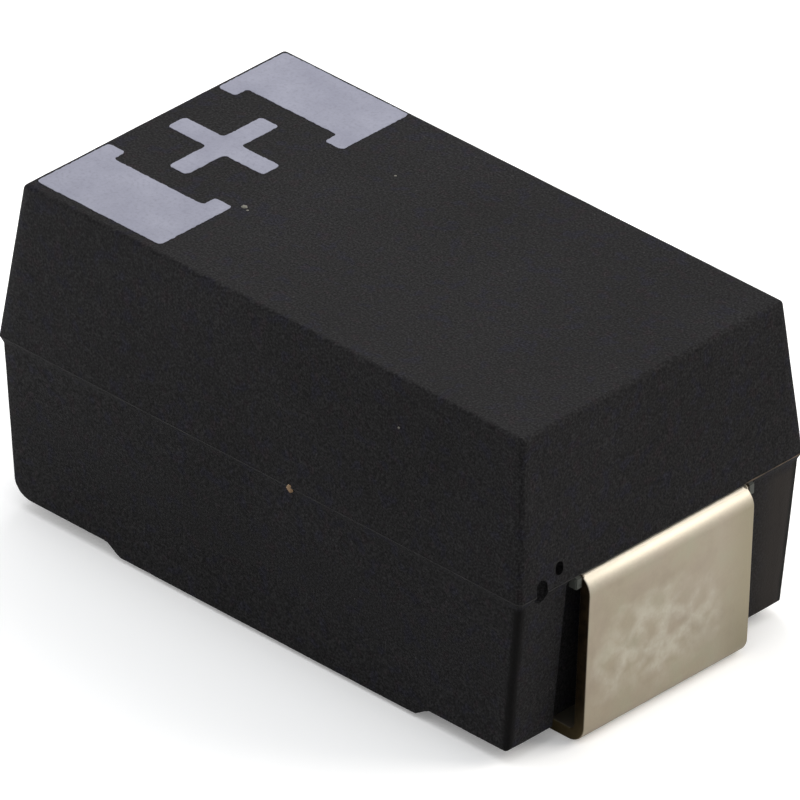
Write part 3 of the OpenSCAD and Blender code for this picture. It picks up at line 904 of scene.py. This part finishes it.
def build_mark_tree():
    """Fills outlines with rounded, slightly ragged edges and gives them a thickness."""
    tree, entry = shape_tree("printed_mark", (
        "Corner Radius", "Raggedness", "Raggedness per m", "Edge Step", "Base Height", "Thickness"))
    rounded = fillet(tree, entry["Geometry"], 8, entry["Corner Radius"])
    fine = resampled(tree, rounded, entry["Edge Step"])
    field = add(tree, "ShaderNodeTexNoise", {
        "Vector": shape(tree, "InputPosition"), "Scale": entry["Raggedness per m"], "Detail": 3.0})
    centred = vector(tree, "SUBTRACT", field.outputs["Color"], (0.5, 0.5, 0.5))
    reach = xyz(tree, X=entry["Raggedness"], Y=entry["Raggedness"])
    shift = vector(tree, "MULTIPLY", centred, reach)
    shifted = shape(tree, "SetPosition", {"Geometry": fine, "Offset": shift})
    filled = shape(tree, "FillCurve", {"Curve": shifted}, mode="TRIANGLES")
    base = xyz(tree, Z=entry["Base Height"])
    seated = shape(tree, "SetPosition", {"Geometry": filled, "Offset": base})
    raised = shape(tree, "ExtrudeMesh", {"Mesh": seated, "Offset": xyz(tree, Z=entry["Thickness"]),
                                         "Offset Scale": 1.0, "Individual": False})
    joined = tree.nodes.new("GeometryNodeJoinGeometry")
    tree.links.new(raised, joined.inputs["Geometry"])
    tree.links.new(shape(tree, "FlipFaces", {"Mesh": seated}), joined.inputs["Geometry"])
    closed = shape(tree, "MergeByDistance", {"Geometry": joined.outputs[0], "Distance": MERGE_WITHIN})
    return close_tree(tree, entry, closed)


def build_flash_tree():
    """Runs a thin lip of uneven reach round the parting outline."""
    tree, entry = shape_tree("parting_flash", ("Reach", "Step", "Waves per m", "Seed"))
    fine = resampled(tree, entry["Geometry"], entry["Step"])
    field = add(tree, "ShaderNodeTexNoise", noise_dimensions="4D", inputs={
        "Vector": shape(tree, "InputPosition"), "W": entry["Seed"], "Scale": entry["Waves per m"],
        "Detail": 4.0, "Roughness": 0.6})
    size = add(tree, "ShaderNodeMapRange", {
        "Value": field.outputs["Fac"], "From Min": 0.3, "From Max": 0.7, "To Min": 0.25,
        "To Max": 1.0}).outputs["Result"]
    lip = shape(tree, "CurvePrimitiveCircle", {"Resolution": 6, "Radius": entry["Reach"]})
    sweep = shape(tree, "CurveToMesh", {"Curve": fine, "Profile Curve": lip, "Scale": size})
    return close_tree(tree, entry, shape(tree, "SetShadeSmooth", {"Geometry": sweep}))


# ---- Terminals ----

def outer_path():
    """The strip's centre line from the solder pad up to the case, with square corners."""
    turn = pi / 2 + STRIP_LEAN
    end = Vector((BEND_X + BEND_MID_R * sin(turn), 0, STRIP_Z - BEND_MID_R * (1 - cos(turn))))
    upper_x = end.x + tan(STRIP_LEAN) * (STRIP_Z - end.z)
    lower_x = end.x - tan(STRIP_LEAN) * (end.z - STRIP_T / 2)
    pad_x = STRIP_OUT_X - SOLDER_PAD_L
    return [(pad_x, STRIP_T / 2), (lower_x, STRIP_T / 2), (upper_x, STRIP_Z)]


def swept(name, path, width, tree, material):
    """A strip along a path of (x, z) places."""
    piece = poly_curve(name, [[(x, 0, z) for x, z in path]], closed=False)
    return run_tree(piece, tree, {
        "Width": width, "Thickness": STRIP_T, "Bend Radius": BEND_MID_R,
        "Edge Radius": STRIP_EDGE_R, "Material": material})


def rod_tool(start, end, radius):
    """A round cutter from start to end."""
    axis = end - start
    work = bmesh.new()
    bmesh.ops.create_cone(work, cap_ends=True, segments=48, radius1=radius, radius2=radius,
                          depth=axis.length)
    turn = axis.to_track_quat("Z", "Y").to_matrix().to_4x4()
    bmesh.ops.transform(work, matrix=Matrix.Translation((start + end) / 2) @ turn, verts=work.verts)
    return piece_from("rod_tool", work)


def stub_blocks(material):
    """The two trimmed tie-bar stubs, one on each side of the strip."""
    inner = STRIP_W / 2 - STUB_ROOT
    size = (STUB_REACH_X - BEND_X, STUB_W / 2 - inner, STRIP_T - STUB_THINNER)
    stubs = []
    for side in (-1, 1):
        centre = Vector(((BEND_X + STUB_REACH_X) / 2, side * (inner + STUB_W / 2) / 2, STRIP_Z))
        work = bmesh.new()
        bmesh.ops.create_cube(work, size=1.0)
        bmesh.ops.scale(work, vec=size, verts=work.verts)
        bmesh.ops.bevel(work, geom=work.edges[:], offset=STUB_EDGE, segments=2, affect="EDGES")
        bmesh.ops.translate(work, vec=centre, verts=work.verts)
        stubs.append(piece_from("stub", work, material))
    return stubs


def add_stubs_and_holes(piece, material):
    """Gives a strip its stubs and the holes that lock it in the resin."""
    cut(piece, stub_blocks(material), "UNION")
    rise = Vector((0, 0, STRIP_T))
    centres = [Vector((LOCK_HOLE_X, side * LOCK_HOLE_Y, STRIP_Z)) for side in (-1, 1)]
    cut(piece, [rod_tool(centre - rise, centre + rise, LOCK_HOLE_D / 2) for centre in centres])


def build_cathode(tree, material):
    """Solder pad, outer run, and the cradle behind and under the pellet."""
    cradle_x = adhesive_high[0] + STRIP_T / 2
    cradle_z = adhesive_low[2] - STRIP_T / 2
    cradle_end = cradle_x - BEND_MID_R - CRADLE_L
    path = outer_path() + [(cradle_x, STRIP_Z), (cradle_x, cradle_z), (cradle_end, cradle_z)]
    piece = swept("cathode_strip", path, STRIP_W, tree, material)
    add_stubs_and_holes(piece, material)
    tidy_normals(piece.data)
    return finish_piece(piece, material, 38)


def build_anode(tree, material):
    """Solder pad, outer run, step down and the narrow weld pad with the wire's groove. It is
    made at the cathode's end and mirrored."""
    step_x = CASE_L / 2 - ANODE_FLAT_L
    pad_z = PARTING_Z - WELD_DROP
    step_l = (STRIP_Z - pad_z) / tan(WELD_STEP_SLOPE)
    bend_x = step_x - BEND_MID_R * tan(WELD_STEP_SLOPE / 2)
    piece = swept("anode_strip", outer_path() + [(step_x, STRIP_Z)], STRIP_W, tree, material)
    narrow = [(step_x + WELD_OVERLAP, STRIP_Z), (bend_x, STRIP_Z), (bend_x - step_l, pad_z),
              (-anode_inner_x, pad_z)]
    cut(piece, [swept("weld_pad", narrow, WELD_PAD_W, tree, material)], "UNION")
    add_stubs_and_holes(piece, material)
    wire_ends = [Vector((-x, 0, WIRE_Z)) for x in (wire_high[0], wire_low[0])]
    cut(piece, [rod_tool(*wire_ends, WIRE_R)])
    piece.data.transform(Matrix.Scale(-1, 4, (1, 0, 0)))
    piece.data.flip_normals()
    tidy_normals(piece.data)
    return finish_piece(piece, material, 38)


# ---- Polarity mark ----

def mark_outlines():
    """Square-cornered outlines of the two brackets and the plus sign, on the top face."""
    start, end = mark_low[0], mark_high[0]
    middle_x = (start + end) / 2 + PLUS_OFFSET[0]
    middle_y = (mark_low[1] + mark_high[1]) / 2 + PLUS_OFFSET[1]
    outlines = []
    for side, outer in ((-1, mark_low[1]), (1, mark_high[1])):
        inner = middle_y + side * MARK_INNER
        tip = inner - side * MARK_LIP_L
        outlines.append([(start, outer), (end, outer), (end, tip), (end - MARK_LIP_W, tip),
                         (end - MARK_LIP_W, inner), (start + MARK_LIP_W, inner),
                         (start + MARK_LIP_W, tip), (start, tip)])
    arm, half = PLUS_L / 2, PLUS_W / 2
    sign = [(arm, -half), (arm, half), (half, half)]
    for _ in range(3):
        sign += [(-y, x) for x, y in sign[-3:]]
    outlines.append([(middle_x + x, middle_y + y) for x, y in sign])
    return [[(x, y, 0) for x, y in outline] for outline in outlines]


def build_mark(material):
    piece = poly_curve("mark", mark_outlines(), closed=True)
    return run_tree(piece, build_mark_tree(), {
        "Corner Radius": 0.045 * MM, "Raggedness": 0.03 * MM, "Raggedness per m": 20 / MM,
        "Edge Step": 0.014 * MM, "Base Height": TOP_Z - MARK_SUNK, "Thickness": MARK_T,
        "Material": material})


# ---- Flash, nib and crumbs ----

def build_flash(material):
    """The thin lip left where the mould halves met."""
    radius = UPPER_EDGE_R
    corner_x, corner_y = CASE_L / 2 - radius, CASE_W / 2 - radius
    outline = []
    for quadrant, (way, flank) in enumerate(((1, 1), (-1, 1), (-1, -1), (1, -1))):
        for step in range(7):
            angle = (quadrant + step / 6) * pi / 2
            outline.append((way * corner_x + radius * cos(angle),
                            flank * corner_y + radius * sin(angle), PARTING_Z))
    piece = run_tree(poly_curve("parting_flash", [outline], closed=True), build_flash_tree(), {
        "Reach": FLASH_REACH, "Step": 0.025 * MM, "Waves per m": 5 / MM, "Seed": 4.0,
        "Material": material})
    cut(piece, build_voids())
    tidy_normals(piece.data)
    return piece


def lump(name, places, material, seed):
    """Small flattened lumps with uneven skins, sunk a little into the face that they sit on.
    Each place is (centre, outward direction, radius)."""
    unevenness, flatness = 0.45, 0.45
    work = bmesh.new()
    for centre, outward, radius in places:
        made = bmesh.ops.create_icosphere(work, subdivisions=3, radius=radius)
        turn = Vector(outward).to_track_quat("Z", "Y").to_matrix()
        for vertex in made["verts"]:
            place = vertex.co.copy()
            skin = noise.noise(place / radius * 1.3 + Vector((seed, 0, radius / MM)))
            place *= 1 + unevenness * skin
            place.z *= flatness
            vertex.co = turn @ place + Vector(centre)
    piece = piece_from(name, work, material)
    smooth(piece.data, 60)
    return piece


def build_nib(material):
    return lump("parting_nib", [(NIB_PLACE, (0, -1, 0), NIB_R)], material, 2.0)


def build_crumbs(material):
    on_top = TOP_Z - CRUMB_SUNK
    side_y = -CASE_W / 2 + (SIDE_CRUMB_Z - PARTING_Z) * tan(UPPER_DRAFT)
    places = [((-1.579 * MM, -0.634 * MM, on_top), (0, 0, 1), BIG_CRUMB_R),
              ((-1.51 * MM, -0.66 * MM, on_top), (0, 0, 1), CRUMB_R),
              ((-0.93 * MM, 0.879 * MM, on_top), (0, 0, 1), CRUMB_R),
              ((1.836 * MM, side_y, SIDE_CRUMB_Z), (0, -1, 0), CRUMB_R)]
    return lump("mould_crumbs", places, material, 5.0)


# ---- Stage, lights and camera ----

def seen_or_mirrored(tree):
    """1 for rays from the camera, a glossy face or glass, otherwise 0."""
    path = add(tree, "ShaderNodeLightPath").outputs
    return maths(tree, "MAXIMUM", path["Is Camera Ray"],
                 maths(tree, "MAXIMUM", path["Is Glossy Ray"], path["Is Transmission Ray"]))


def floor_white():
    """White where it is seen or mirrored; other rays get back less light."""
    material, tree, place = new_tree("floor_white")
    white = clouded(tree, place, 0.02, [(0.0, 0.97), (1.0, 1.0)])
    tone = blend(tree, seen_or_mirrored(tree), (FLOOR_BOUNCE,) * 3, white)
    rough = ramp(tree, white, [(0.0, 0.9), (1.0, 0.95)])
    seen = add(tree, "ShaderNodeLightPath").outputs["Is Camera Ray"]
    return finish(material, tone, rough, Specular_IOR_Level=0.0, Emission_Color=NEUTRAL,
                  Emission_Strength=times(tree, seen, FLOOR_GLOW))


def build_floor():
    """A plain floor that keeps the object's shadow."""
    corners = [(x * FLOOR_HALF, y * FLOOR_HALF, 0) for x, y in ((-1, -1), (1, -1), (1, 1), (-1, 1))]
    floor = link("floor", mesh_from("floor", corners, [(0, 1, 2, 3)]), floor_white())
    floor.location.z = cad_bounds[0][2] - 0.002 * MM


def build_world():
    """White where it is seen directly or mirrored, a low even light otherwise."""
    world = bpy.data.worlds.new("studio")
    bpy.context.scene.world = world
    world.use_nodes = True
    tree = world.node_tree
    tree.nodes.clear()
    strength = plus(tree, AMBIENT, times(tree, seen_or_mirrored(tree), 1.0 - AMBIENT))
    background = add(tree, "ShaderNodeBackground", {"Color": NEUTRAL, "Strength": strength})
    add(tree, "ShaderNodeOutputWorld", {"Surface": background.outputs["Background"]})


def direction(azimuth, elevation):
    """Unit vector away from the object, with azimuths that turn from the -Y side towards +X."""
    azimuth, elevation = radians(azimuth), radians(elevation)
    return Vector((sin(azimuth) * cos(elevation), -cos(azimuth) * cos(elevation), sin(elevation)))


def soft_box(name, azimuth, elevation, distance, size, power, tint=NEUTRAL):
    """A square area lamp that looks at the origin."""
    lamp = bpy.data.lights.new(name, "AREA")
    lamp.shape = "SQUARE"
    lamp.size = size
    lamp.energy = power
    lamp.color = tint
    away = direction(azimuth, elevation)
    holder = link(name, lamp)
    holder.location = away * distance
    holder.rotation_euler = away.to_track_quat("Z", "Y").to_euler()


def build_lights():
    soft_box("key", 144, 38, 0.30, 0.18, 0.46, WARM)
    soft_box("low_key", 132, 18, 0.30, 0.15, 0.08, WARM)
    soft_box("top", -10, 84, 0.34, 0.22, 0.34, COOL)
    soft_box("near_top", -135, 62, 0.0155, 0.008, 0.0005)
    soft_box("near_left", -62, 8, 0.0164, 0.006, 0.0009)


def build_camera():
    azimuth, roll = radians(CAMERA_AZIMUTH), radians(CAMERA_ROLL)
    back = direction(CAMERA_AZIMUTH, CAMERA_ELEVATION)
    level_right = Vector((cos(azimuth), sin(azimuth), 0))
    level_up = back.cross(level_right)
    right = level_right * cos(roll) + level_up * sin(roll)
    up = level_up * cos(roll) - level_right * sin(roll)
    data = bpy.data.cameras.new("camera")
    data.lens = CAMERA_LENS
    data.sensor_width = 36
    data.clip_start = 0.01
    data.clip_end = 10
    camera = link("camera", data)
    place = Vector(CAMERA_AIM) * MM + back * CAMERA_DISTANCE
    camera.matrix_world = Matrix.Translation(place) @ Matrix((right, up, back)).transposed().to_4x4()
    bpy.context.scene.camera = camera


# ---- Assembly ----

def place_piece(piece, node):
    """Fixes a piece to the body, in place of a CAD node if it has one."""
    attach(piece, "root")
    if node:
        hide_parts(node)


build_camera()
build_world()
build_lights()
build_floor()

strip_tree = build_strip_tree()
tin = terminal_tin()
epoxy = case_epoxy()

place_piece(build_case(epoxy), "epoxy_case")
place_piece(build_mark(mark_print()), "polarity_mark")
place_piece(build_cathode(strip_tree, tin), "cathode_terminal")
place_piece(build_anode(strip_tree, tin), "anode_terminal")
place_piece(build_flash(flash_resin()), None)
place_piece(build_nib(resin_nib()), None)
place_piece(build_crumbs(mould_dust()), None)

# The CAD nodes that stay, each with its finished material.
for node, material in (
        ("anode_wire", tantalum_wire()), ("insulating_washer", washer_resin()),
        ("tantalum_pellet", sintered_tantalum()), ("electrolyte_coat", solid_electrolyte()),
        ("carbon_coat", carbon_film()), ("silver_coat", silver_paint()),
        ("silver_adhesive", silver_glue())):
    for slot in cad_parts[node].material_slots:
        slot.material = material

bpy.context.scene.view_settings.view_transform = "Standard"
